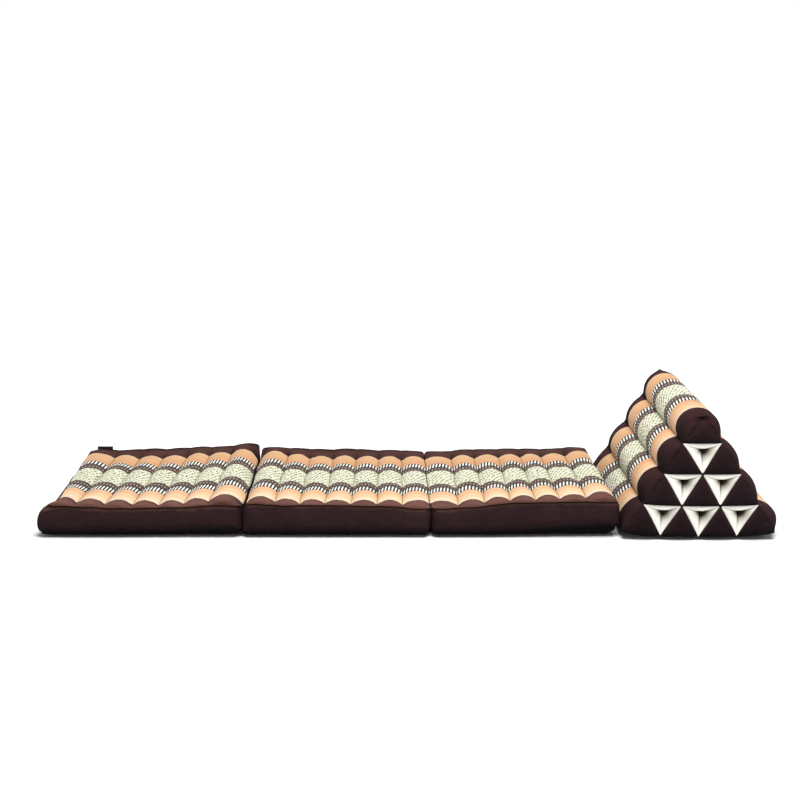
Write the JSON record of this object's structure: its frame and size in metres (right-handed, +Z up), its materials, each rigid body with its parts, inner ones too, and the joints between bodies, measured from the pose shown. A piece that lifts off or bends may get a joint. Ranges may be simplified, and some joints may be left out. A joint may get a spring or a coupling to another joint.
{
  "type": "fold-out floor mat with triangle cushion",
  "caption": "Thai style floor mat of channelled striped pads joined to a triangular bolster of tubes with tucked pockets in its ends, laid out flat.",
  "frame": {"origin": "on the floor under the centre of the bounding box", "axes": "+X along the mat from its foot towards the bolster, +Y across the mat, +Z up"},
  "size_m": [1.7126, 0.582, 0.2992],
  "materials": {
    "striped_cotton": "woven, matte",
    "natural_cotton": "woven, matte",
    "brown_cotton": "woven, matte",
    "black_satin": "satin ribbon"
  },
  "bodies": {
    "root": {"pad_foot": "striped_cotton", "pad_middle": "striped_cotton", "pad_head": "striped_cotton", "bolster": "striped_cotton", "pocket_near_1": "natural_cotton", "pocket_near_2": "natural_cotton", "pocket_near_3": "natural_cotton", "pocket_near_4": "natural_cotton", "pocket_near_5": "natural_cotton", "pocket_near_6": "natural_cotton", "pocket_far_1": "natural_cotton", "pocket_far_2": "natural_cotton", "pocket_far_3": "natural_cotton", "pocket_far_4": "natural_cotton", "pocket_far_5": "natural_cotton", "pocket_far_6": "natural_cotton", "hinge_foot": "brown_cotton", "hinge_middle": "brown_cotton", "hinge_head": "brown_cotton", "tab": "black_satin"}
  },
  "joints": []
}
